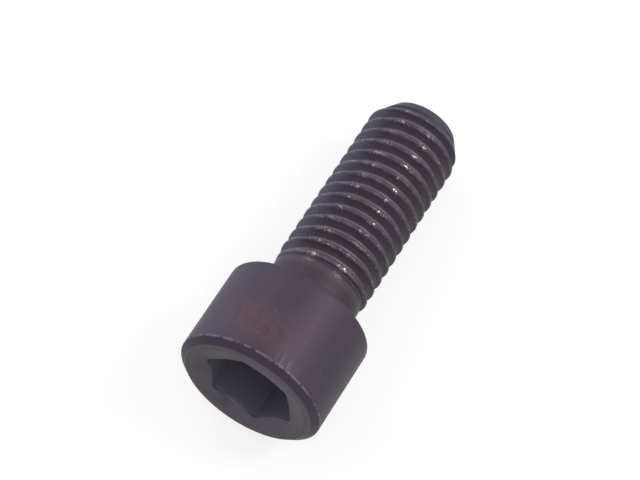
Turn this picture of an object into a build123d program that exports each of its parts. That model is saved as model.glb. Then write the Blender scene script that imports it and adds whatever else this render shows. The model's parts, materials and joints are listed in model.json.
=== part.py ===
from build123d import *
from math import atan2, ceil, cos, degrees, floor, radians, sin, tan
import os

# A socket head cap screw with a coarse metric thread, made as one solid. It is built upright about
# its own axis, with the bearing face at height 0, the head below it and the thread above it. The
# thread is a true right-hand helix in flat facets. Then the screw is laid on its side, where it
# rests on the head's rim and on the end of a facet of the last full crest of the thread.

# Head, in millimetres and degrees
head_diameter = 18.0
head_height = 12.0
head_chamfer_height = 0.75
head_chamfer_width = 0.95
rim_chamfer = 0.4

# Hexagon socket
socket_width = 10.05
socket_depth = 6.0
socket_corner_radius = 0.3
socket_floor_cone = 1.2
socket_mouth_diameter = 14.5
socket_mouth_angle = 150.0
socket_turn = 21.5

# Shank, thread and tip
shank_length = 30.0
nominal_diameter = 12.0
thread_pitch = 1.75
thread_angle = 60.0
crest_shortfall = 0.07
neck_step = 0.33
neck_length = 4.4
neck_fillet = 0.6
crest_run_out = 1.75
root_run_out = 2.7
tip_chamfer_height = 2.7
tip_chamfer_width = 1.65

# The underside is an angle about the axis. The turned surfaces have their seam seam_turn past it, a crest
# crosses it at first_crest, and a facet of the thread starts facet_lead of its length before it.
underside = 90.0
seam_turn = 0.7
first_crest = 5.72
facets_per_turn = 24
facet_lead = 0.3

# Overlap of pieces that are joined, and the way that cutters run past the metal
joining_overlap = 0.2

# The metric thread's pitch line and root lie these shares of the sharp thread's height inside it
pitch_line_share = 3 / 8
root_share = 17 / 24

# Worked out
head_radius = head_diameter / 2
flank_slope = tan(radians(thread_angle / 2))
sharp_height = thread_pitch / (2 * flank_slope)
crest_radius = nominal_diameter / 2 - crest_shortfall
pitch_radius = nominal_diameter / 2 - pitch_line_share * sharp_height
root_radius = nominal_diameter / 2 - root_share * sharp_height
crest_width = thread_pitch / 2 - 2 * (crest_radius - pitch_radius) * flank_slope
root_width = thread_pitch / 2 - 2 * (pitch_radius - root_radius) * flank_slope
neck_radius = crest_radius - neck_step
full_thread_end = shank_length - tip_chamfer_height
head_top = -head_height

# Worked out: one turn of the thread in section, as radius and height from the middle of its crest
thread_section = [
    (root_radius, (root_width - thread_pitch) / 2),
    (crest_radius, -crest_width / 2),
    (crest_radius, crest_width / 2),
    (root_radius, (thread_pitch - root_width) / 2),
]


def round_solid(outline):
    """The solid that an outline of radius and height points makes when it turns about the axis."""
    return Rot(0, 0, underside + seam_turn) * revolve(make_face(Plane.XZ * outline), Axis.Z)


def head_and_neck():
    """The head with its chamfered edges, and the plain neck that fades into the thread."""
    fillet_start = (neck_radius + neck_fillet, 0)
    fillet_end = (neck_radius, neck_fillet)
    head = Polyline(
        (0, neck_length + root_run_out),
        (0, head_top),
        (head_radius - head_chamfer_width, head_top),
        (head_radius, head_top + head_chamfer_height),
        (head_radius, -rim_chamfer),
        (head_radius - rim_chamfer, 0),
        fillet_start,
    )
    neck_arc = RadiusArc(fillet_start, fillet_end, neck_fillet)
    neck = Polyline(
        fillet_end,
        (neck_radius, neck_length),
        (root_radius - joining_overlap, neck_length + root_run_out),
        (0, neck_length + root_run_out),
    )
    return round_solid(head + neck_arc + neck)


def thread_point(corner, step):
    """A corner of the thread's section, wound up the helix by steps of one facet."""
    turns, corner = divmod(corner, len(thread_section))
    radius, height = thread_section[corner]
    turns += (step - facet_lead) / facets_per_turn
    angle = radians(underside + 360 * turns)
    return Vector(radius * cos(angle), radius * sin(angle), first_crest + height + thread_pitch * turns)


def facet(*points):
    """A flat face with straight edges."""
    return Face(Wire.make_polygon(points))


def end_facets(step):
    """The facets that close one end of the wound thread, fanned from a point on the axis."""
    edge = [thread_point(0, step + along) for along in range(facets_per_turn + 1)]
    edge += [thread_point(corner, step) for corner in range(len(thread_section) - 1, 0, -1)]
    centre = Vector(0, 0, thread_point(0, step).Z)
    return [facet(centre, start, end) for start, end in zip(edge, edge[1:] + edge[:1])]


def wound_rod():
    """A rod with the thread wound on it, a turn or more longer at each end than the screw's thread."""
    first = floor((neck_length - first_crest) / thread_pitch - 2) * facets_per_turn
    last = ceil((shank_length - first_crest) / thread_pitch + 1) * facets_per_turn
    facets = end_facets(first) + end_facets(last)
    for step in range(first, last):
        for corner in range(len(thread_section)):
            lower, lower_next = thread_point(corner, step), thread_point(corner, step + 1)
            upper, upper_next = thread_point(corner + 1, step), thread_point(corner + 1, step + 1)
            facets.append(facet(lower, lower_next, upper_next))
            facets.append(facet(lower, upper_next, upper))
    return Solid(Shell(facets))


def thread_envelope():
    """The room for the thread: its crests grow out of the neck and the tip tapers."""
    clear_radius = crest_radius + joining_overlap
    run_out_slope = neck_step / crest_run_out
    tip_slope = tip_chamfer_width / tip_chamfer_height
    outline = Polyline(
        (0, neck_length),
        (neck_radius, neck_length),
        (clear_radius, neck_length + (clear_radius - neck_radius) / run_out_slope),
        (clear_radius, full_thread_end - joining_overlap / tip_slope),
        (crest_radius - tip_chamfer_width, shank_length),
        (0, shank_length),
        close=True,
    )
    return round_solid(outline)


def socket_cutter():
    """The hexagon socket with its coned floor, and the shallow cone that opens its mouth."""
    corner_radius = socket_width / 2 / cos(radians(30))
    above = head_top - joining_overlap
    corner_depth = head_top + socket_depth
    floor_centre = corner_depth + socket_floor_cone
    hexagon = RegularPolygon(radius=corner_radius, side_count=6, rotation=socket_turn)
    hexagon = fillet(hexagon.vertices(), socket_corner_radius)
    prism = extrude(Pos(0, 0, above) * hexagon, floor_centre - above)
    coned_floor = Polyline(
        (0, above), (corner_radius, above), (corner_radius, corner_depth), (0, floor_centre), close=True
    )
    mouth_slope = tan(radians(socket_mouth_angle / 2))
    mouth_radius = socket_mouth_diameter / 2
    mouth = Polyline(
        (0, above),
        (mouth_radius + joining_overlap * mouth_slope, above),
        (0, head_top + mouth_radius / mouth_slope),
        close=True,
    )
    return (prism & round_solid(coned_floor)) + round_solid(mouth)


def resting_dip():
    """How far the axis dips towards the tip, in degrees, when the screw lies on rim and crest."""
    turns_short = facet_lead / facets_per_turn
    turns_up = ceil((full_thread_end - first_crest) / thread_pitch) - 1 - turns_short
    touching_crest = first_crest + turns_up * thread_pitch + crest_width / 2
    crest_drop = crest_radius * cos(radians(360 * turns_short))
    return degrees(atan2(head_radius - crest_drop, touching_crest + rim_chamfer))


screw = head_and_neck() + (wound_rod() & thread_envelope()) - socket_cutter()
dip = resting_dip()
lying_screw = Rot(-(90 + dip), 0, 0) * screw

os.makedirs("parts", exist_ok=True)
export_step(lying_screw, "parts/cap_screw.step")
print("axis dips", round(dip, 3), "degrees, volume", round(lying_screw.volume, 1), "cubic millimetres")
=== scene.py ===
import json
import math

import bmesh
import bpy
from bpy.props import FloatProperty, FloatVectorProperty, IntProperty, PointerProperty
from mathutils import Matrix, Vector


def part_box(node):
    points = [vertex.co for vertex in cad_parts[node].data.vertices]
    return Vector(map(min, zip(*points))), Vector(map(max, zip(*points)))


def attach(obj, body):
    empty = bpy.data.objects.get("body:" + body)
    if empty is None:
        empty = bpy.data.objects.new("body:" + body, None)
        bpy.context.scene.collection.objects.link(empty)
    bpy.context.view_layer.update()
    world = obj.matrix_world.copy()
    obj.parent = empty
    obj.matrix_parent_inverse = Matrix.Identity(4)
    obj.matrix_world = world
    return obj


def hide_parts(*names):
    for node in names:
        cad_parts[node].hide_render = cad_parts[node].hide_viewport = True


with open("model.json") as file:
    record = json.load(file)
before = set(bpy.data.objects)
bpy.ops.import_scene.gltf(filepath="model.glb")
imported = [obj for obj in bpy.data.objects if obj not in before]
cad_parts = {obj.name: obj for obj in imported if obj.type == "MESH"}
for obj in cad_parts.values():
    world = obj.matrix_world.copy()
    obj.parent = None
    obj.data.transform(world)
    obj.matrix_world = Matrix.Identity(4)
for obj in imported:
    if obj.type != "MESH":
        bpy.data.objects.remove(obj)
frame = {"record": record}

bl_info = {
    "name": "Socket Head Cap Screw",
    "version": (1, 0, 0),
    "blender": (4, 5, 0),
    "location": "3D View > Sidebar > Cap Screw",
    "description": "Makes a black oxide socket head cap screw and a pale studio around it",
    "category": "Add Mesh",
}

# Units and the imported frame
MM = 0.001
CAD_NODE = "cap_screw"
SLOT = frame["record"]["materials"][0]["slot"]
MOUNTS = {mount["name"]: mount for mount in frame["record"]["mounts"]}
SCREW_AXIS = Vector(MOUNTS["bearing_face"]["axis"])
BEARING_CENTRE = Vector(MOUNTS["bearing_face"]["pos_m"])
HEAD_RADIUS = MOUNTS["head"]["dims"]["r_mm"] * MM
HEAD_HEIGHT = (Vector(MOUNTS["socket"]["pos_m"]) - BEARING_CENTRE).length
CAD_LOW, CAD_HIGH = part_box(CAD_NODE)
AXIS_DIP = math.atan2(-SCREW_AXIS.z, SCREW_AXIS.y)
TIP_RADIUS = 4.28 * MM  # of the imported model's flat end
SHANK_LENGTH = (CAD_HIGH.y - TIP_RADIUS * math.sin(AXIS_DIP)) / math.cos(AXIS_DIP)
SCREW_TO_ROW = Matrix.Rotation(-(math.radians(90) + AXIS_DIP), 4, "X")

# Points closer than this are the same point
SAME_PLACE = 1e-7

# The camera that took the photograph, in pixels of its 640 by 480 frame
PHOTO_SIZE = (640, 480)
SENSOR_WIDTH = 36.0
BEARING_CENTRE_PIXEL = (298.8, 313.1)

# The camera sees nothing nearer than this share of its distance
NEAR_SHARE = 0.1


def length(name, description, default):
    """A property that holds a length in metres, given in millimetres."""
    return FloatProperty(
        name=name, description=description, default=default * MM,
        unit="LENGTH", subtype="DISTANCE", precision=5,
    )


def degrees(name, description, default):
    """A property that holds an angle, given in degrees."""
    return FloatProperty(
        name=name, description=description, default=math.radians(default), subtype="ANGLE", unit="ROTATION"
    )


def fraction(name, description, default):
    """A property that holds a number from 0 to 1."""
    return FloatProperty(name=name, description=description, default=default, min=0.0, max=1.0)


def watts(name, default):
    """A property that holds a lamp's power."""
    return FloatProperty(name=name, description="Power in watts", default=default, unit="POWER")


def tint(name, description, default):
    """A property that holds a colour."""
    return FloatVectorProperty(
        name=name, description=description, default=default, subtype="COLOR", size=3, min=0.0, max=1.0
    )


class HeadSettings(bpy.types.PropertyGroup):
    """Sizes of the head and its socket."""

    chamfer_height: length("Chamfer Height", "Height of the chamfer around the head's top", 0.75)
    chamfer_width: length("Chamfer Width", "Width of the chamfer around the head's top", 0.95)
    edge_radius: length("Edge Radius", "Rounding of the worn edges of the head's top", 0.16)
    lip_radius: length("Lip Radius", "Rounding of the edges of the socket's mouth", 0.10)
    rim_radius: length("Rim Radius", "Rounding of the rim at the bearing face", 0.4)
    socket_width: length("Socket Width", "Hexagon socket across its flats", 10.05)
    socket_depth: length("Socket Depth", "Depth of the hexagon at its corners", 6.0)
    socket_floor: length("Socket Floor Cone", "Height of the shallow cone of the socket's floor", 1.2)
    socket_corner: length("Socket Corner Radius", "Rounding of the corners between the flats", 0.3)
    mouth_radius: length("Mouth Radius", "Outer radius of the cone that opens the socket", 7.25)
    mouth_angle: degrees("Mouth Angle", "Full angle of the cone that opens the socket", 150)
    socket_turn: degrees("Socket Turn", "Turn of a socket corner about the screw's axis", 21.5)
    columns: IntProperty(
        name="Columns", description="Faces around the screw, a multiple of twelve",
        default=192, min=24, max=360,
    )


class ThreadSettings(bpy.types.PropertyGroup):
    """Sizes of the neck, the thread and the tip."""

    pitch: length("Pitch", "Distance from one turn of the thread to the next", 1.75)
    crest_radius: length("Crest Radius", "Radius over the crests", 5.92)
    root_radius: length("Root Radius", "Radius at the bottom of the groove", 4.93)
    crest_width: length("Crest Width", "Flat width of a crest", 0.30)
    edge_softness: length("Edge Softness", "Rounding of crest and root", 0.16)
    neck_radius: length("Neck Radius", "Radius of the plain neck", 5.63)
    neck_fillet: length("Neck Fillet", "Fillet between the neck and the bearing face", 0.6)
    neck_length: length("Neck Length", "Length of the plain neck", 4.0)
    crest_run_out: length("Crest Run-out", "Length over which the crests grow out of the neck", 1.5)
    root_run_out: length("Root Run-out", "Length over which the groove reaches its depth", 1.7)
    tip_height: length("Tip Taper Height", "Length of the tapered tip", 2.7)
    tip_width: length("Tip Taper Width", "How far the taper comes in", 1.65)
    tip_edge: length("Tip Edge Radius", "Rounding of the edge of the flat end", 0.35)
    crest_wear: length("Crest Wear", "Depth of the small nicks in the crests", 0.07)
    crest_turn: degrees("Crest Turn", "Angle about the axis at which a crest leaves the neck's end", 96.2)
    rows_per_turn: IntProperty(
        name="Rows per Pitch", description="Rows of faces for each pitch", default=24, min=6
    )
    seed: IntProperty(name="Seed", description="Seed of the nicks in the crests", default=7)


class FinishSettings(bpy.types.PropertyGroup):
    """Colours of the black oxide finish and of what has worn, settled or grown on it, with painted light,
    shade, sheen and glints.
    """

    oxide: tint("Black Oxide", "Main colour of the finish", (0.056, 0.042, 0.060))
    oxide_cool: tint("Cool Oxide", "Bluish tint of the finish", (0.054, 0.050, 0.080))
    oxide_warm: tint("Warm Oxide", "Brownish tint of the finish", (0.066, 0.044, 0.052))
    neck_brown: tint("Neck Brown", "Brownish tint of the plain neck", (0.050, 0.034, 0.044))
    # Lit and shaded copies of the oxide: painted shade on the chamfer, painted light on the flat ring and on
    # the mouth cone
    painted_chamfer_shade: tint("Painted Chamfer Shade", "Dark band on the chamfer of the head", (0.044, 0.031, 0.052))
    painted_ring_light: tint("Painted Top Light", "Greyish tint of the flat ring around the socket", (0.070, 0.062, 0.062))
    painted_mouth_light: tint("Painted Mouth Light", "Pale tint of the cone that opens the socket", (0.080, 0.069, 0.090))
    # Painted light that lifts the shade in the grooves
    painted_groove_light: tint("Painted Groove Light", "Dust and dried oil in the grooves", (0.150, 0.116, 0.148))
    # Painted light that lifts the shade inside the socket
    painted_socket_light: tint("Painted Socket Light", "Dust and dried oil in the socket", (0.185, 0.180, 0.220))
    worn_crest: tint("Worn Crest", "Thin oxide on the crests", (0.070, 0.064, 0.080))
    # Also the colour of the painted glints in two rows on the crests and the shoulder
    bare_steel_and_glint: tint("Bare Steel and Glint", "Steel that shows where the finish has gone", (0.56, 0.53, 0.50))
    brassy: tint("Brassy Specks", "Stained specks beside the bare steel", (0.34, 0.27, 0.10))
    # Also the colour of a painted highlight along the edge of the head's top and a painted sheen on the
    # shoulder
    dulled_steel_and_highlight: tint("Dulled Steel and Highlight", "Rubbed edges where the finish is thin", (0.17, 0.15, 0.16))
    end_blue: tint("End Blue", "Bluish tint of the tip", (0.048, 0.047, 0.072))
    # Painted sheen, pale and bluish, along one side of the thread
    painted_left_sheen: tint("Painted Left Sheen", "Bluish bloom along one side of the thread", (0.110, 0.106, 0.160))
    rust: tint("Rust", "Rust on the head and the neck", (0.125, 0.058, 0.058))
    # Angles of the two rows of painted glints on the crests
    right_glint_row: degrees("Right Painted Glint Row", "Angle about the axis of the row of bare nicks on the right", 295.9)
    left_glint_row: degrees("Left Painted Glint Row", "Angle about the axis of the row of bare nicks on the left", 257.1)
    rust_turn: degrees("Rust Turn", "Angle about the axis of the rusty patch on the head", 264.0)
    # Angle of the painted sheen along one side of the thread
    painted_sheen_turn: degrees("Painted Sheen Turn", "Angle about the axis of the bluish bloom on the thread", 204.0)
    metallic: fraction("Metallic", "How metallic the finish is", 0.75)
    roughness: fraction("Roughness", "Roughness of sound oxide", 0.56)
    worn_roughness: fraction("Worn Roughness", "Roughness of bare steel", 0.30)
    bump_height: length("Bump Height", "Height of the fine grain", 0.02)


class StudioSettings(bpy.types.PropertyGroup):
    """The camera, the floor and the lights."""

    focal_pixels: FloatProperty(
        name="Focal Length", description="Focal length in pixels of the photograph", default=2595.0
    )
    distance: length("Camera Distance", "Depth of the bearing face from the camera", 296.1)
    azimuth: degrees("Camera Azimuth", "Turn of the camera about the vertical", 29.35)
    elevation: degrees("Camera Elevation", "Height of the camera above the level", 64.00)
    floor_colour: tint("Floor", "Colour of the floor", (0.94, 0.94, 0.94))
    floor_size: FloatProperty(name="Floor Size", description="Width of the floor", default=3.0, unit="LENGTH")
    floor_glow: fraction("Floor Glow", "How far the floor is lifted to white", 0.75)
    sky_strength: FloatProperty(name="Sky Strength", description="Light from all around", default=0.95)
    lamp_distance: length("Lamp Distance", "From the screw to each lamp", 600.0)
    lamp_size: length("Lamp Size", "Width of each lamp", 180.0)
    lamp_lean: degrees("Lamp Lean", "Lean of the lamps towards the tip", 15)
    right_lamp_turn: degrees("Right Lamp Turn", "Angle of the right lamp about the screw's axis", 307.5)
    left_lamp_turn: degrees("Left Lamp Turn", "Angle of the left lamp about the screw's axis", 229.9)
    cool_lamp_turn: degrees("Cool Lamp Turn", "Angle of the cool lamp about the screw's axis", 186.0)
    right_lamp_power: watts("Right Lamp Power", 1.4)
    left_lamp_power: watts("Left Lamp Power", 0.6)
    cool_lamp_power: watts("Cool Lamp Power", 0.7)
    cool_light: tint("Cool Light", "Colour of the cool lamp", (0.70, 0.78, 1.0))


SETTINGS = {
    "cap_screw_head": HeadSettings,
    "cap_screw_thread": ThreadSettings,
    "cap_screw_finish": FinishSettings,
    "cap_screw_studio": StudioSettings,
}


class Value:
    """A socket of a node tree, with arithmetic that adds its Math nodes."""

    def __init__(self, tree, socket):
        self.tree = tree
        self.socket = socket

    def _math(self, operation, *operands):
        node = self.tree.add("ShaderNodeMath", {"operation": operation}, dict(enumerate(operands)))
        return self.tree.value(node)

    def __add__(self, other):
        return self._math("ADD", self, other)

    def __radd__(self, other):
        return self._math("ADD", other, self)

    def __sub__(self, other):
        return self._math("SUBTRACT", self, other)

    def __rsub__(self, other):
        return self._math("SUBTRACT", other, self)

    def __mul__(self, other):
        return self._math("MULTIPLY", self, other)

    def __rmul__(self, other):
        return self._math("MULTIPLY", other, self)

    def __truediv__(self, other):
        return self._math("DIVIDE", self, other)

    def __rtruediv__(self, other):
        return self._math("DIVIDE", other, self)

    def maximum(self, other):
        return self._math("MAXIMUM", self, other)

    def minimum(self, other):
        return self._math("MINIMUM", self, other)

    def wrapped(self, high, low):
        return self._math("WRAP", self, high, low)

    def absolute(self):
        return self._math("ABSOLUTE", self)

    def sine(self):
        return self._math("SINE", self)

    def cosine(self):
        return self._math("COSINE", self)

    def root(self):
        return self._math("SQRT", self)

    def ceiling(self):
        return self._math("CEIL", self)

    def soft_maximum(self, other, softness):
        return self._math("SMOOTH_MAX", self, other, softness)

    def soft_minimum(self, other, softness):
        return self._math("SMOOTH_MIN", self, other, softness)

    def rises(self, low, high):
        """0 under the lower value, 1 over the higher value, and smooth between them."""
        sockets = {"Value": self, "From Min": low, "From Max": high}
        node = self.tree.add("ShaderNodeMapRange", {"interpolation_type": "SMOOTHSTEP"}, sockets)
        return self.tree.value(node)

    def falls(self, low, high):
        """1 under the lower value, 0 over the higher value, and smooth between them."""
        return 1.0 - self.rises(low, high)


class Tree:
    """A node tree that is written with calls and expressions."""

    def __init__(self, nodes, links):
        self.nodes = nodes
        self.links = links

    def add(self, kind, settings=None, sockets=None):
        """Adds a node of a type, with its settings first and then its sockets' values or links."""
        node = self.nodes.new(kind)
        for name, setting in (settings or {}).items():
            setattr(node, name, setting)
        for name, content in (sockets or {}).items():
            self.feed(node.inputs[name], content)
        return node

    def feed(self, target, content):
        """Links a value or a socket to an input, or sets the input's own value."""
        if isinstance(content, Value):
            self.links.new(content.socket, target)
        elif isinstance(content, bpy.types.NodeSocket):
            self.links.new(content, target)
        else:
            target.default_value = content

    def value(self, node, output=0):
        """An output of a node, ready for arithmetic."""
        return Value(self, node.outputs[output])

    def noise(self, where, scale, detail, roughness=0.5):
        """Soft noise from 0 to 1."""
        sockets = {"Vector": where, "Scale": scale, "Detail": detail, "Roughness": roughness}
        return self.value(self.add("ShaderNodeTexNoise", None, sockets))

    def mixed(self, mask, under, over):
        """One colour over another, where the mask is 1."""
        node = self.add("ShaderNodeMix", {"data_type": "RGBA"})
        for socket, content in zip((node.inputs[0], node.inputs[6], node.inputs[7]), (mask, under, over)):
            self.feed(socket, content)
        return node.outputs[2]


# Head and socket

def arc_points(before, corner, after, radius, steps):
    """The points of the arc that rounds a corner of an outline."""
    towards_before = (before - corner).normalized()
    towards_after = (after - corner).normalized()
    half = towards_before.angle(towards_after) / 2
    reach = radius / math.tan(half)
    centre = corner + (towards_before + towards_after).normalized() * (radius / math.sin(half))
    start = corner + towards_before * reach - centre
    end = corner + towards_after * reach - centre
    sweep = start.angle_signed(end)
    rotations = [Matrix.Rotation(-sweep * step / steps, 2) for step in range(steps + 1)]
    return [centre + rotation @ start for rotation in rotations]


def head_outline(head, thread):
    """Radius and height pairs from the neck's end, over the bearing face and rim, to the socket's mouth."""
    rim_steps = 6
    edge_steps = 4
    top = -HEAD_HEIGHT
    neck_end = Vector((thread.neck_radius, thread.neck_length))
    neck_corner = Vector((thread.neck_radius, 0))
    rim_corner = Vector((HEAD_RADIUS, 0))
    side_corner = Vector((HEAD_RADIUS, top + head.chamfer_height))
    top_corner = Vector((HEAD_RADIUS - head.chamfer_width, top))
    mouth_corner = Vector((head.mouth_radius, top))
    points = [neck_end]
    points += arc_points(neck_end, neck_corner, rim_corner, thread.neck_fillet, rim_steps)
    points += arc_points(neck_corner, rim_corner, side_corner, head.rim_radius, rim_steps)
    points += arc_points(rim_corner, side_corner, top_corner, head.edge_radius, edge_steps)
    points += arc_points(side_corner, top_corner, mouth_corner, head.edge_radius, edge_steps)
    return points, mouth_corner


def divided(points, longest):
    """The same outline with its long stretches divided."""
    out = [points[0]]
    for start, end in zip(points, points[1:]):
        pieces = max(1, math.ceil((end - start).length / longest))
        out += [start.lerp(end, piece / pieces) for piece in range(1, pieces + 1)]
    return out


def hexagon_radius(head, angle):
    """Distance from the axis to the socket's wall at an angle, with the corners rounded."""
    sixth = math.radians(60)
    off_flat = abs((angle - head.socket_turn) % sixth - sixth / 2)
    flat = head.socket_width / 2
    corner_centre = (flat - head.socket_corner) / math.cos(sixth / 2)
    off_corner = sixth / 2 - off_flat
    across = corner_centre * math.sin(off_corner)
    half_chord = math.sqrt(max(head.socket_corner ** 2 - across ** 2, 0.0))
    rounded = corner_centre * math.cos(off_corner) + half_chord
    arc_starts = math.atan2(flat * math.tan(sixth / 2) - head.socket_corner * math.tan(sixth / 2), flat)
    return flat / math.cos(off_flat) if off_flat < arc_starts else rounded


def column_angles(head):
    """The angles of the columns of points about the axis, from a corner of the socket."""
    return [head.socket_turn + math.tau * column / head.columns for column in range(head.columns)]


def close_rings(shape, rings, centre_height):
    """Faces between rings of points, and a fan that closes the last ring."""
    columns = len(rings[0])
    centre = shape.verts.new((0, 0, centre_height))
    for column in range(columns):
        beside = (column + 1) % columns
        for lower, upper in zip(rings, rings[1:]):
            shape.faces.new((lower[column], lower[beside], upper[beside], upper[column]))
        shape.faces.new((rings[-1][column], rings[-1][beside], centre))


def add_head(shape, head, thread):
    """The head as rings of points about the axis, down to the middle of the socket's floor."""
    longest_stretch = 0.6 * MM
    cone_shares = (0.35, 0.7, 1.0)
    lip_shares = (0.3, 0.7, 1.0)
    lip_drop = 0.25
    angles = column_angles(head)
    outline, mouth = head_outline(head, thread)
    outline = divided(outline, longest_stretch)

    def ring(place):
        return [
            shape.verts.new((radius * math.cos(angle), radius * math.sin(angle), height))
            for angle in angles
            for radius, height in [place(angle)]
        ]

    slope = math.tan(head.mouth_angle / 2)
    edge = head.lip_radius
    floor = -HEAD_HEIGHT + head.socket_depth
    corner_radius = head.socket_width / 2 / math.cos(math.radians(30))

    def mouth_height(radius):
        return -HEAD_HEIGHT + (head.mouth_radius - radius) / slope

    def floor_height(radius):
        return floor + head.socket_floor * (1 - radius / corner_radius)

    rings = [ring(lambda angle, point=point: (point.x, point.y)) for point in outline]
    rings.append(ring(lambda angle: (mouth.x + edge, mouth.y)))
    rings.append(ring(lambda angle: (mouth.x - edge, mouth_height(mouth.x - edge))))
    for share in cone_shares:
        def on_cone(angle, share=share):
            wall = hexagon_radius(head, angle) + edge
            radius = mouth.x - edge + (wall - mouth.x + edge) * share
            return radius, mouth_height(radius)
        rings.append(ring(on_cone))
    for share in lip_shares:
        def on_lip(angle, share=share):
            wall = hexagon_radius(head, angle)
            turn = share * math.radians(90)
            radius = wall + edge * (1 - math.sin(turn))
            return radius, mouth_height(wall) + edge * (1 - math.cos(turn)) + edge * lip_drop * share
        rings.append(ring(on_lip))
    wall_rows = 10
    for row in range(1, wall_rows + 1):
        def on_wall(angle, share=row / wall_rows):
            wall = hexagon_radius(head, angle)
            start = mouth_height(wall) + edge * (1 + lip_drop)
            return wall, start + (floor_height(wall) - start) * share
        rings.append(ring(on_wall))
    floor_rows = 6
    for row in range(1, floor_rows):
        def on_floor(angle, share=1 - row / floor_rows):
            radius = hexagon_radius(head, angle) * share
            return radius, floor_height(radius)
        rings.append(ring(on_floor))
    close_rings(shape, rings, floor_height(0))


def tip_outline(thread):
    """The rounded end of the tip, from the taper to the edge of the flat end."""
    taper_start = Vector((thread.crest_radius, SHANK_LENGTH - thread.tip_height))
    corner = Vector((thread.crest_radius - thread.tip_width, SHANK_LENGTH))
    edge_steps = 5
    return arc_points(taper_start, corner, Vector((0, SHANK_LENGTH)), thread.tip_edge, edge_steps)


def add_tip(shape, head, thread):
    """The flat end of the tip with its rounded edge."""
    face_shares = (0.75, 0.5, 0.25)
    outline = tip_outline(thread)
    outline += [Vector((outline[-1].x * share, SHANK_LENGTH)) for share in face_shares]

    def ring(point):
        places = [(point.x * math.cos(angle), point.x * math.sin(angle)) for angle in column_angles(head)]
        return [shape.verts.new((x, y, point.y)) for x, y in places]

    rings = [ring(point) for point in outline]
    close_rings(shape, rings, SHANK_LENGTH)


def make_ends_mesh(head, thread):
    """The head and the tip, which the thread joins."""
    mesh = bpy.data.meshes.new(CAD_NODE + "_ends")
    shape = bmesh.new()
    add_head(shape, head, thread)
    add_tip(shape, head, thread)
    bmesh.ops.remove_doubles(shape, verts=shape.verts, dist=SAME_PLACE)
    shape.to_mesh(mesh)
    shape.free()
    return mesh


# Thread, wound by a rule

# Lean of a flank from the plane across the axis, in degrees
FLANK_ANGLE = 30.0

# The tree's inputs and the settings that they are given
THREAD_INPUTS = {
    "Pitch": "pitch",
    "Crest Radius": "crest_radius",
    "Root Radius": "root_radius",
    "Crest Width": "crest_width",
    "Softness": "edge_softness",
    "Neck Radius": "neck_radius",
    "Neck Length": "neck_length",
    "Crest Run-out": "crest_run_out",
    "Root Run-out": "root_run_out",
    "Tip Height": "tip_height",
    "Tip Width": "tip_width",
    "Crest Wear": "crest_wear",
    "Crest Turn": "crest_turn",
}


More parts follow.
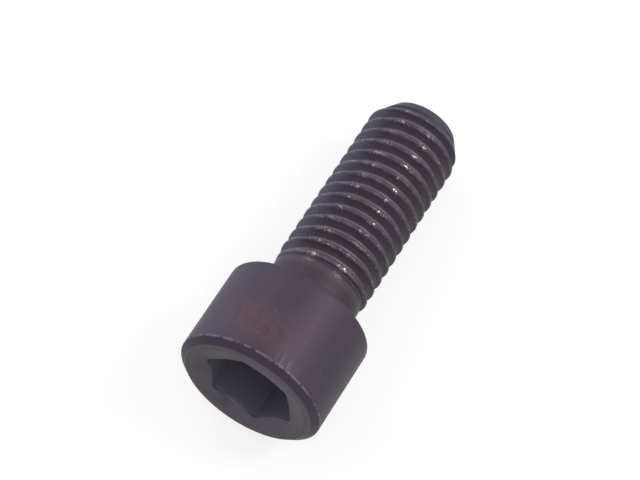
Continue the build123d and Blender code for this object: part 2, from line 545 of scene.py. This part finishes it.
def thread_tree(material):
    """A tree that winds a grid into the thread, joins it to the incoming head and gives both a material."""
    group = bpy.data.node_groups.new("wound_thread", "GeometryNodeTree")
    face = group.interface
    face.new_socket("Geometry", in_out="INPUT", socket_type="NodeSocketGeometry")
    for name in [*THREAD_INPUTS, "Start Turn", "End Height"]:
        face.new_socket(name, in_out="INPUT", socket_type="NodeSocketFloat")
    for name in ("Columns", "Rows per Pitch", "Seed"):
        face.new_socket(name, in_out="INPUT", socket_type="NodeSocketInt")
    face.new_socket("Geometry", in_out="OUTPUT", socket_type="NodeSocketGeometry")
    tree = Tree(group.nodes, group.links)
    incoming = tree.add("NodeGroupInput")
    part = {socket.name: Value(tree, socket) for socket in incoming.outputs if socket.name}
    pitch, neck, end = part["Pitch"], part["Neck Length"], part["End Height"]
    rows_per_pitch = part["Rows per Pitch"]
    spare_turns = 2.0
    nick_scale, nick_detail, nick_start, nick_gain = 620.0, 3.0, 0.56, 5.0
    seed_step = 0.37
    nick_free_length = 1.0 * MM
    merge_distance = 0.002 * MM

    rows = ((end - neck) / pitch + spare_turns).ceiling() * rows_per_pitch
    grid = tree.add("GeometryNodeMeshGrid", None, {
        "Size X": 1.0, "Size Y": 1.0, "Vertices X": part["Columns"] + 1.0, "Vertices Y": rows + 1.0,
    })
    grid_point = tree.add("GeometryNodeInputPosition").outputs[0]
    place = tree.add("ShaderNodeSeparateXYZ", None, {"Vector": grid_point})
    around = tree.value(place, 0) + 0.5
    along = (tree.value(place, 1) + 0.5) * rows * pitch / rows_per_pitch
    angle = part["Start Turn"] + around * math.tau
    wound = neck - pitch + along + around * pitch
    height = wound.maximum(neck).minimum(end)

    crest_lag = (wound - neck) - (angle - part["Crest Turn"]) * pitch / math.tau
    off_crest = crest_lag.wrapped(pitch * 0.5, pitch * -0.5).absolute()
    flank_drop = 1 / math.tan(math.radians(FLANK_ANGLE))
    flank = part["Crest Radius"] - (off_crest - part["Crest Width"] * 0.5) * flank_drop
    profile = flank.soft_maximum(part["Root Radius"], part["Softness"])
    profile = profile.soft_minimum(part["Crest Radius"], part["Softness"])

    past_neck = height - neck
    crest_growth = (past_neck / part["Crest Run-out"]).minimum(1.0)
    root_growth = (past_neck / part["Root Run-out"]).minimum(1.0)
    crest_limit = part["Neck Radius"] + (part["Crest Radius"] - part["Neck Radius"]) * crest_growth
    root_limit = part["Neck Radius"] + (part["Root Radius"] - part["Neck Radius"]) * root_growth
    past_taper = height - SHANK_LENGTH + part["Tip Height"]
    taper = part["Crest Radius"] - past_taper * part["Tip Width"] / part["Tip Height"]
    radius = profile.maximum(root_limit).minimum(crest_limit)

    ring = tree.add("ShaderNodeCombineXYZ", None, {
        "X": angle.cosine() * part["Crest Radius"], "Y": angle.sine() * part["Crest Radius"], "Z": height,
    })
    offset = tree.add("ShaderNodeCombineXYZ", None, {"X": part["Seed"] * seed_step})
    shifted = tree.add("ShaderNodeVectorMath", {"operation": "ADD"}, {
        0: ring.outputs[0], 1: offset.outputs[0],
    })
    nicks = tree.noise(shifted.outputs[0], nick_scale, nick_detail)
    struck = ((nicks - nick_start).maximum(0.0) * nick_gain).minimum(1.0)
    near_crest = ((radius - part["Root Radius"]) / (part["Crest Radius"] - part["Root Radius"])).maximum(0.0)
    clear_of_neck = past_neck.minimum(nick_free_length) / nick_free_length
    worn = radius - part["Crest Wear"] * struck * near_crest * near_crest * clear_of_neck
    worn = worn.soft_minimum(taper, part["Softness"])

    placed = tree.add("ShaderNodeCombineXYZ", None, {
        "X": angle.cosine() * worn, "Y": angle.sine() * worn, "Z": height,
    })
    wind = tree.add("GeometryNodeSetPosition", None, {
        "Geometry": grid.outputs["Mesh"], "Position": placed.outputs[0],
    })
    join = tree.add("GeometryNodeJoinGeometry")
    tree.links.new(wind.outputs[0], join.inputs[0])
    tree.links.new(incoming.outputs["Geometry"], join.inputs[0])
    merge = tree.add("GeometryNodeMergeByDistance", None, {
        "Geometry": join.outputs[0], "Distance": merge_distance,
    })
    realize = tree.add("GeometryNodeRealizeInstances", None, {"Geometry": merge.outputs[0]})
    finish = tree.add("GeometryNodeSetMaterial", None, {
        "Geometry": realize.outputs[0], "Material": material,
    })
    outgoing = tree.add("NodeGroupOutput")
    tree.links.new(finish.outputs[0], outgoing.inputs[0])
    return group


# Finish

def colour(setting):
    """A colour property as the four numbers of a colour socket."""
    return (*setting, 1.0)


# How softly each region of the surface starts or ends, in millimetres from its edge
SOFT_EDGES = {
    "side": (-0.06, -0.02),
    "chamfer": (-0.02, 0.08),
    "ring_top": (0.01, 0.06),
    "ring_out": (-0.08, 0.02),
    "mouth_out": (-0.06, 0.04),
    "socket_out": (0.05, 0.15),
    "neck_end": (-0.3, 0.5),
    "thread_start": (0.0, 0.9),
    "thread_end": (-0.3, 0.7),
    "tip": (0.4, 1.6),
    "crest": (-0.30, -0.08),
    "edge_out": (-0.16, -0.05),
    "inner_edge_top": (0.14, 0.22),
}

# Heights along the axis between which something fades in or out, in millimetres from the bearing face
FADES = {
    "head_end": (-0.5, -0.2),
    "socket_floor": (-2.0, -1.0),
    "neck_start": (-0.1, 0.2),
    "shoulder_start": (2.9, 3.5),
    "shoulder_end": (4.6, 5.2),
    # Where the painted glints on the shoulder start
    "shoulder_glint": (3.4, 4.2),
    "patch_start": (-11.2, -8.8),
    "patch_end": (-7.4, -4.0),
    "neck_rust_start": (0.4, 1.0),
    "neck_rust_end": (1.6, 2.4),
    "scratches_end": (-10.6, -9.4),
}

# Depths below the head's top at which the mouth's tint ends and the socket's dust begins
MOUTH_DEPTHS = (0.75, 0.85)
SOCKET_DEPTHS = (0.55, 0.75)

# Radii between which the shoulder before the thread starts, and how far over the thread's root and under
# its crest the dust in the groove fades out
SHOULDER_RADII = (5.5, 5.6)
GROOVE_MARGINS = (0.1, 0.15)

# Angles within and beyond which something beside a turn of the axis is full and gone, in degrees
SPANS = {
    # Painted sheen along one side of the thread
    "painted_sheen": (12.0, 40.0),
    "rust_patch": (6.0, 40.0),
    "neck_rust": (8.0, 24.0),
    "scratches": (4.0, 13.0),
    # Widths of the two rows of painted glints
    "right_glint_row": (1.0, 8.0),
    "left_glint_row": (1.0, 9.0),
}

# Widths of the rubbed lines along the edges of the head's top
LINES = {"edge": (0.05, 0.20), "inner_edge": (0.04, 0.16)}

# Levels of a noise between which a layer fades in
LEVELS = {
    "cool": (0.42, 0.66),
    "warm": (0.48, 0.68),
    "mouth": (0.3, 0.6),
    "groove_rust": (0.50, 0.64),
    "rust_drift": (0.34, 0.66),
    "rust_streak": (0.30, 0.70),
    "rust_grain": (0.40, 0.60),
    "edge": (0.38, 0.58),
    "scratches": (0.54, 0.66),
    "crest_rub": (0.50, 0.62),
    "glint_fleck": (0.48, 0.60),
    "glint_grain": (0.44, 0.56),
    "specks": (0.74, 0.79),
    "crest_flecks": (0.64, 0.72),
    "brassy": (0.54, 0.60),
}

# How strongly each layer covers what lies under it
COVER = {
    "cool": 0.55, "warm": 0.55, "neck": 0.7, "chamfer": 0.8, "ring": 0.8, "mouth": 0.9, "groove": 0.85,
    "groove_rust": 0.45, "crest": 0.5, "painted_sheen": 0.7, "tip": 0.9, "socket": 0.9, "rust": 0.55,
    "neck_rust": 0.5, "scratches": 0.5, "edge": 0.7, "inner_edge": 0.25, "shoulder": 0.12,
    "crest_rub": 0.35, "left_glint_row": 0.6, "shoulder_glints": 0.5, "nicks": 0.9, "crest_flecks": 0.4,
    "specks": 0.25,
}

# Weight of each noise in the rust, how far the roughness varies and how strong the fine grain is
RUST_MOTTLING = {"drift": 0.5, "streak": 0.2, "grain": 0.3}
ROUGHNESS_SWING = 0.1
BUMP_STRENGTH = 0.5

# Scale per millimetre, detail and roughness of each noise, and the stretch of the streaks along the axis
NOISES = {
    "cloud": (0.20, 3.0, 0.55),
    "grain": (5.0, 3.0, 0.6),
    "fleck": (2.6, 2.0, 0.5),
    "drift": (0.9, 2.0, 0.5),
}
STREAKS = {"streak": (1.0, 3.0, 0.6), "fine_streak": (3.5, 2.0, 0.5)}
STREAK_SCALE = (1.6, 1.6, 0.10)


class Surface:
    """Places on the screw's surface, in millimetres and turns about its own axis, and the noises on it."""

    def __init__(self, tree):
        coordinates = tree.add("ShaderNodeTexCoord").outputs["Object"]
        in_mm = tree.add("ShaderNodeMapping", None, {
            "Vector": coordinates,
            "Rotation": (math.radians(90) + AXIS_DIP, 0, 0),
            "Scale": (1 / MM, 1 / MM, 1 / MM),
        }).outputs[0]
        place = tree.add("ShaderNodeSeparateXYZ", None, {0: in_mm})
        self.across, self.over, self.height = (tree.value(place, output) for output in range(3))
        self.radius = (self.across * self.across + self.over * self.over).root()
        self.noises = {name: tree.noise(in_mm, *settings) for name, settings in NOISES.items()}
        along_axis = tree.add("ShaderNodeMapping", None, {"Vector": in_mm, "Scale": STREAK_SCALE}).outputs[0]
        self.noises |= {name: tree.noise(along_axis, *settings) for name, settings in STREAKS.items()}

    def beside(self, turn, span):
        """1 near a turn about the axis, and 0 away from it."""
        near, far = (math.cos(math.radians(angle)) for angle in SPANS[span])
        facing = (self.across * math.cos(turn) + self.over * math.sin(turn)) / self.radius
        return facing.rises(far, near)

    def fades_in(self, name):
        """0 before a stretch of the axis, and 1 after it."""
        return self.height.rises(*FADES[name])

    def fades_out(self, name):
        """1 before a stretch of the axis, and 0 after it."""
        return self.height.falls(*FADES[name])

    def patches(self, noise, level):
        """1 where a noise is over a level, and 0 where it is under it."""
        return self.noises[noise].rises(*LEVELS[level])


def soft_edge(place, name):
    """The two values between which a region's edge fades."""
    low, high = SOFT_EDGES[name]
    return place + low, place + high


def line_at(distance, place, name):
    """1 close to a radius or height, and 0 away from it."""
    return (distance - place).absolute().falls(*LINES[name])


def head_regions(surface, head):
    """Masks of the regions of the head and its socket."""
    height, radius = surface.height, surface.radius
    top = -HEAD_HEIGHT / MM
    head_radius = HEAD_RADIUS / MM
    side_end = top + head.chamfer_height / MM
    ring_radius = head_radius - head.chamfer_width / MM
    mouth_radius = head.mouth_radius / MM
    socket_radius = head.socket_width / MM / math.sqrt(3)
    chamfer = height.falls(*soft_edge(side_end, "chamfer")) * radius.rises(*soft_edge(ring_radius, "chamfer"))
    ring = height.falls(*soft_edge(top, "ring_top")) * radius.falls(*soft_edge(ring_radius, "ring_out"))
    mouth_depths = (top + depth for depth in MOUTH_DEPTHS)
    mouth = height.falls(*mouth_depths) * radius.falls(*soft_edge(mouth_radius, "mouth_out"))
    socket_depths = (top + depth for depth in SOCKET_DEPTHS)
    socket = radius.falls(*soft_edge(socket_radius, "socket_out")) * height.rises(*socket_depths)
    # A painted highlight along the edge of the head's top, broken by streaks
    edge = line_at(height, side_end, "edge") * radius.rises(*soft_edge(head_radius, "edge_out"))
    inner_edge = line_at(radius, ring_radius, "inner_edge") * height.falls(*soft_edge(top, "inner_edge_top"))
    return {
        "side": surface.fades_out("head_end") * radius.rises(*soft_edge(head_radius, "side")),
        "chamfer": chamfer,
        "ring": ring,
        "mouth": mouth,
        "socket": socket * surface.fades_out("socket_floor"),
        "edge": edge * surface.patches("streak", "edge"),
        "inner_edge": inner_edge,
    }


def shank_regions(surface, thread):
    """Masks of the regions of the neck, the thread and the tip."""
    height, radius = surface.height, surface.radius
    neck_end = thread.neck_length / MM
    taper_start = (SHANK_LENGTH - thread.tip_height) / MM
    crest_radius = thread.crest_radius / MM
    groove_in, groove_out = GROOVE_MARGINS
    threaded = height.rises(*soft_edge(neck_end, "thread_start"))
    full_thread = threaded * height.falls(*soft_edge(taper_start, "thread_end"))
    shoulder = surface.fades_in("shoulder_start") * surface.fades_out("shoulder_end")
    return {
        "neck": surface.fades_in("neck_start") * height.falls(*soft_edge(neck_end, "neck_end")),
        "threaded": threaded,
        "groove": full_thread * radius.falls(thread.root_radius / MM + groove_in, crest_radius - groove_out),
        "crest": threaded * radius.rises(*soft_edge(crest_radius, "crest")),
        # The shoulder carries a painted sheen and painted glints
        "shoulder": shoulder * radius.rises(*SHOULDER_RADII),
        "tip": height.rises(*soft_edge(taper_start, "tip")),
    }


def oxide_shade(tree, surface, region, finish):
    """The sound finish, with its tints and with what has settled on it, painted shade on the chamfer, painted
    light on the flat ring, the mouth cone, the grooves and the socket, and a painted sheen on one side of the
    thread.
    """
    patches = surface.patches
    # A painted sheen along one side of the thread
    painted_sheen = region["threaded"] * surface.beside(finish.painted_sheen_turn, "painted_sheen")
    layers = [
        ("warm", region["side"] * patches("streak", "warm"), finish.oxide_warm),
        ("neck", region["neck"], finish.neck_brown),
        # Painted shade on the chamfer, painted light on the flat ring and on the mouth cone
        ("chamfer", region["chamfer"], finish.painted_chamfer_shade),
        ("ring", region["ring"], finish.painted_ring_light),
        ("mouth", region["mouth"] * patches("cloud", "mouth"), finish.painted_mouth_light),
        # Painted light that lifts the shade in the grooves
        ("groove", region["groove"], finish.painted_groove_light),
        ("groove_rust", region["groove"] * patches("drift", "groove_rust"), finish.rust),
        ("crest", region["crest"], finish.worn_crest),
        ("painted_sheen", painted_sheen, finish.painted_left_sheen),
        ("tip", region["tip"], finish.end_blue),
        # Painted light that lifts the shade inside the socket
        ("socket", region["socket"], finish.painted_socket_light),
    ]
    cool = patches("cloud", "cool") * COVER["cool"]
    shade = tree.mixed(cool, colour(finish.oxide), colour(finish.oxide_cool))
    for name, mask, over in layers:
        shade = tree.mixed(mask * COVER[name], shade, colour(over))
    return shade


def rust_mask(surface, region, finish):
    """The rusty patch on the head and the spot on the neck."""
    patch = region["side"] * surface.beside(finish.rust_turn, "rust_patch")
    patch = patch * surface.fades_in("patch_start") * surface.fades_out("patch_end")
    spot = region["neck"] * surface.beside(finish.right_glint_row, "neck_rust")
    spot = spot * surface.fades_in("neck_rust_start") * surface.fades_out("neck_rust_end")
    mottling = [surface.patches(noise, "rust_" + noise) * weight for noise, weight in RUST_MOTTLING.items()]
    return (patch * (mottling[0] + mottling[1] + mottling[2]) + spot * COVER["neck_rust"]) * COVER["rust"]


def rubbed_and_highlight_mask(surface, region, finish):
    """Scratches, rubbed crests and the inner edge of the chamfer where the finish is thin, a painted
    highlight along the outer edge of the head's top and a painted sheen on the shoulder before the thread.
    """
    patches = surface.patches
    scratches = region["side"] * surface.beside(finish.right_glint_row, "scratches")
    scratches = scratches * surface.fades_out("scratches_end") * patches("fine_streak", "scratches")
    # Scratches, with a painted highlight along the edge of the head's top
    rubbed = scratches * COVER["scratches"] + region["edge"] * COVER["edge"]
    # A painted sheen on the shoulder before the thread
    rubbed = rubbed + region["inner_edge"] * COVER["inner_edge"] + region["shoulder"] * COVER["shoulder"]
    return (rubbed + region["crest"] * patches("drift", "crest_rub") * COVER["crest_rub"]).minimum(1.0)


def bare_and_glint_mask(surface, region, finish):
    """Painted glints in two rows on the crests and the shoulder, drawn as bare nicks, and flecks and specks
    where the steel shows.
    """
    patches = surface.patches
    # Painted glints in two rows, on the crests and the shoulder, drawn as bare nicks
    left_glint_row = surface.beside(finish.left_glint_row, "left_glint_row") * COVER["left_glint_row"]
    rows = (surface.beside(finish.right_glint_row, "right_glint_row") + left_glint_row).minimum(1.0)
    shoulder = region["shoulder"] * surface.fades_in("shoulder_glint") * COVER["shoulder_glints"]
    struck = (region["crest"] * patches("fleck", "glint_fleck") + shoulder).minimum(1.0)
    nicks = rows * patches("grain", "glint_grain") * struck * COVER["nicks"]
    flecks = region["crest"] * patches("fleck", "crest_flecks") * COVER["crest_flecks"]
    specks = (1.0 - region["threaded"]) * patches("fleck", "specks") * COVER["specks"]
    return (nicks + flecks + specks).minimum(1.0)


def oxide_material(finish, head, thread):
    """Black oxide on steel: softly mottled, rusty in places and bare where worn, with painted shade and light
    on the head's top, painted light in the grooves and socket, a painted sheen on one side of the thread, a
    painted highlight along the head's edge and painted glints in two rows.
    """
    material = bpy.data.materials.new(SLOT)
    material.use_nodes = True
    material.node_tree.nodes.clear()
    tree = Tree(material.node_tree.nodes, material.node_tree.links)
    surface = Surface(tree)
    region = head_regions(surface, head) | shank_regions(surface, thread)
    shade = oxide_shade(tree, surface, region, finish)
    shade = tree.mixed(rust_mask(surface, region, finish), shade, colour(finish.rust))
    # Rubbed steel where the finish is thin, a painted highlight on the head's edge and a painted sheen on the
    # shoulder
    shade = tree.mixed(rubbed_and_highlight_mask(surface, region, finish), shade, colour(finish.dulled_steel_and_highlight))
    # Bare steel where worn, and painted glints in two rows
    worn = bare_and_glint_mask(surface, region, finish)
    brassy = region["threaded"] * surface.patches("drift", "brassy")
    steel = tree.mixed(brassy, colour(finish.bare_steel_and_glint), colour(finish.brassy))
    shade = tree.mixed(worn, shade, steel)

    bump = tree.add("ShaderNodeBump", None, {
        "Strength": BUMP_STRENGTH, "Distance": finish.bump_height, "Height": surface.noises["grain"],
    })
    swing = (surface.noises["cloud"] - 0.5) * ROUGHNESS_SWING
    shader = tree.add("ShaderNodeBsdfPrincipled", None, {
        "Base Color": shade,
        "Metallic": finish.metallic,
        "Roughness": finish.roughness + swing - worn * (finish.roughness - finish.worn_roughness),
        "Normal": bump.outputs[0],
    })
    output = tree.add("ShaderNodeOutputMaterial")
    tree.links.new(shader.outputs[0], output.inputs[0])
    return material


# Whole screw

def closed_outwards(mesh):
    """Takes out faces of no area, points every face outwards and makes sure that no edge is open."""
    shape = bmesh.new()
    shape.from_mesh(mesh)
    bmesh.ops.dissolve_degenerate(shape, edges=shape.edges, dist=SAME_PLACE)
    bmesh.ops.recalc_face_normals(shape, faces=shape.faces)
    open_edges = sum(1 for edge in shape.edges if len(edge.link_faces) != 2)
    shape.to_mesh(mesh)
    shape.free()
    if open_edges:
        raise RuntimeError(f"the screw's mesh has {open_edges} open edges")


def make_screw(scene):
    """Builds the ends, winds the thread between them and lays the screw where it rests."""
    head, thread, finish = scene.cap_screw_head, scene.cap_screw_thread, scene.cap_screw_finish
    material = oxide_material(finish, head, thread)
    ends = bpy.data.objects.new(CAD_NODE + "_ends", make_ends_mesh(head, thread))
    scene.collection.objects.link(ends)
    group = thread_tree(material)
    modifier = ends.modifiers.new("wound_thread", "NODES")
    modifier.node_group = group
    sizes = {name: getattr(thread, setting) for name, setting in THREAD_INPUTS.items()}
    sizes["Start Turn"] = head.socket_turn
    sizes["End Height"] = tip_outline(thread)[0].y
    sizes["Columns"] = head.columns
    sizes["Rows per Pitch"] = thread.rows_per_turn
    sizes["Seed"] = thread.seed
    for socket in group.interface.items_tree:
        if socket.name in sizes:
            modifier[socket.identifier] = sizes[socket.name]
    evaluated = ends.evaluated_get(bpy.context.evaluated_depsgraph_get())
    mesh = bpy.data.meshes.new_from_object(evaluated)
    mesh.name = "screw_body"
    ends.modifiers.remove(modifier)
    bpy.data.objects.remove(ends)
    mesh.transform(SCREW_TO_ROW)
    closed_outwards(mesh)
    mesh.shade_smooth()
    piece = bpy.data.objects.new("screw_body", mesh)
    scene.collection.objects.link(piece)
    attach(piece, "root")
    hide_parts(CAD_NODE)


# Studio

def view_axes(studio):
    """The camera's right, its image's downward direction and its line of sight."""
    azimuth, elevation = studio.azimuth, studio.elevation
    level = math.cos(elevation)
    sight = Vector((-math.sin(azimuth) * level, math.cos(azimuth) * level, -math.sin(elevation)))
    right = Vector((math.cos(azimuth), math.sin(azimuth), 0))
    return right, sight.cross(right), sight


def place_camera(scene, studio):
    """The camera that sees the bearing face where the photograph shows it."""
    width, height = PHOTO_SIZE
    right, down, sight = view_axes(studio)
    column, row = BEARING_CENTRE_PIXEL
    aside = (column - (width - 1) / 2) / studio.focal_pixels
    below = (row - (height - 1) / 2) / studio.focal_pixels
    place = BEARING_CENTRE - (right * aside + down * below + sight) * studio.distance
    data = bpy.data.cameras.new("photo_camera")
    data.sensor_width = SENSOR_WIDTH
    data.lens = studio.focal_pixels * SENSOR_WIDTH / width
    data.clip_start = studio.distance * NEAR_SHARE
    camera = bpy.data.objects.new("photo_camera", data)
    camera.matrix_world = Matrix.Translation(place) @ Matrix((right, -down, -sight)).transposed().to_4x4()
    scene.collection.objects.link(camera)
    scene.camera = camera


def lay_floor(scene, studio):
    """A pale floor under the screw, nearly white to the camera, that keeps a soft shadow."""
    mesh = bpy.data.meshes.new("studio_floor")
    reach = studio.floor_size / 2
    corners = [(-reach, -reach), (reach, -reach), (reach, reach), (-reach, reach)]
    mesh.from_pydata([(x, y, CAD_LOW.z) for x, y in corners], [], [(0, 1, 2, 3)])
    floor = bpy.data.objects.new("studio_floor", mesh)
    scene.collection.objects.link(floor)
    material = bpy.data.materials.new("studio_floor")
    material.use_nodes = True
    material.node_tree.nodes.clear()
    tree = Tree(material.node_tree.nodes, material.node_tree.links)
    path = tree.add("ShaderNodeLightPath")
    seen = [tree.value(path, name) for name in ("Is Camera Ray", "Is Glossy Ray", "Is Transmission Ray")]
    lit = tree.add("ShaderNodeBsdfDiffuse", None, {"Color": colour(studio.floor_colour)})
    glow = tree.add("ShaderNodeEmission", None, {"Color": (1, 1, 1, 1), "Strength": 1.0})
    factor = (seen[0] + seen[1] + seen[2]).minimum(1.0) * studio.floor_glow
    blend = tree.add("ShaderNodeMixShader", None, {0: factor, 1: lit.outputs[0], 2: glow.outputs[0]})
    output = tree.add("ShaderNodeOutputMaterial")
    tree.links.new(blend.outputs[0], output.inputs[0])
    mesh.materials.append(material)


def hang_lamp(scene, studio, name, turn, power, light):
    """A soft square lamp, placed by its angle about the screw's axis and its lean towards the tip."""
    lean = studio.lamp_lean
    around = Vector((math.cos(turn) * math.cos(lean), math.sin(turn) * math.cos(lean), math.sin(lean)))
    towards = SCREW_TO_ROW.to_3x3() @ around
    data = bpy.data.lights.new(name, "AREA")
    data.energy = power
    data.size = studio.lamp_size
    data.color = light
    lamp = bpy.data.objects.new(name, data)
    lamp.location = BEARING_CENTRE + towards * studio.lamp_distance
    lamp.rotation_euler = towards.to_track_quat("Z", "Y").to_euler()
    scene.collection.objects.link(lamp)


def light_studio(scene, studio):
    """Even light from all around, two soft lamps for the two rows of glints, and a cool one on the left."""
    scene.world = bpy.data.worlds.new("studio_world")
    scene.world.use_nodes = True
    background = scene.world.node_tree.nodes["Background"]
    background.inputs["Color"].default_value = (1, 1, 1, 1)
    background.inputs["Strength"].default_value = studio.sky_strength
    white = (1, 1, 1)
    hang_lamp(scene, studio, "right_lamp", studio.right_lamp_turn, studio.right_lamp_power, white)
    hang_lamp(scene, studio, "left_lamp", studio.left_lamp_turn, studio.left_lamp_power, white)
    hang_lamp(scene, studio, "cool_lamp", studio.cool_lamp_turn, studio.cool_lamp_power, studio.cool_light)


class CapScrewBody(bpy.types.Operator):
    """Makes the cap screw with its socket, its wound thread and its finish."""

    bl_idname = "mesh.cap_screw_body"
    bl_label = "Cap Screw"

    def execute(self, context):
        make_screw(context.scene)
        return {"FINISHED"}


class CapScrewStudio(bpy.types.Operator):
    """Places the camera, the pale floor and the soft lamps."""

    bl_idname = "scene.cap_screw_studio"
    bl_label = "Studio"

    def execute(self, context):
        scene = context.scene
        studio = scene.cap_screw_studio
        scene.view_settings.view_transform = "Standard"
        place_camera(scene, studio)
        lay_floor(scene, studio)
        light_studio(scene, studio)
        return {"FINISHED"}


class CapScrewPanel(bpy.types.Panel):
    """Lists the pieces that can be made and their settings."""

    bl_idname = "VIEW3D_PT_cap_screw"
    bl_label = "Cap Screw"
    bl_space_type = "VIEW_3D"
    bl_region_type = "UI"
    bl_category = "Cap Screw"

    def draw(self, context):
        for operator in OPERATORS:
            self.layout.operator(operator.bl_idname)
        for name in SETTINGS:
            box = self.layout.box()
            group = getattr(context.scene, name)
            for setting in group.bl_rna.properties:
                if setting.identifier in group.__annotations__:
                    box.prop(group, setting.identifier)


OPERATORS = (CapScrewBody, CapScrewStudio)


def register():
    for group in SETTINGS.values():
        bpy.utils.register_class(group)
    for operator in OPERATORS:
        bpy.utils.register_class(operator)
    bpy.utils.register_class(CapScrewPanel)
    for name, group in SETTINGS.items():
        setattr(bpy.types.Scene, name, PointerProperty(type=group))


def unregister():
    for name in SETTINGS:
        delattr(bpy.types.Scene, name)
    bpy.utils.unregister_class(CapScrewPanel)
    for operator in reversed(OPERATORS):
        bpy.utils.unregister_class(operator)
    for group in reversed(SETTINGS.values()):
        bpy.utils.unregister_class(group)


def main():
    """Makes the pieces and the stage."""
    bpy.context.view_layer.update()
    register()
    bpy.ops.mesh.cap_screw_body()
    bpy.ops.scene.cap_screw_studio()


if __name__ == "__main__":
    main()
